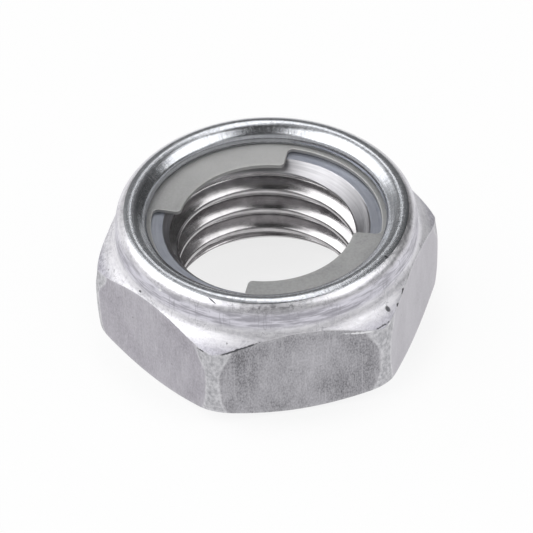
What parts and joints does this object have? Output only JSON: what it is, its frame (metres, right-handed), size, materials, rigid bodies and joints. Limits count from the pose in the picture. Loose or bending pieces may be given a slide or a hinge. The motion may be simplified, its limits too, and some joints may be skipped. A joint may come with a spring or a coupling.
{
  "type": "self-locking nut",
  "caption": "Hexagon nut with a rolled-in collar that clamps a tongued friction ring, which grips the bolt's thread so the nut stays tight.",
  "frame": {"origin": "centre of the bearing face, on the thread axis", "axes": "+Z along the thread axis, from the bearing face to the rolled lip; +X through a corner of the hexagon"},
  "size_m": [0.0272, 0.024, 0.0106],
  "materials": {
    "nut_steel": "satin cold-formed steel, polished on the rolled lip and the thread",
    "ring_steel": "satin spring steel"
  },
  "bodies": {
    "root": {"nut_body": "nut_steel", "friction_ring": "ring_steel"}
  },
  "joints": []
}
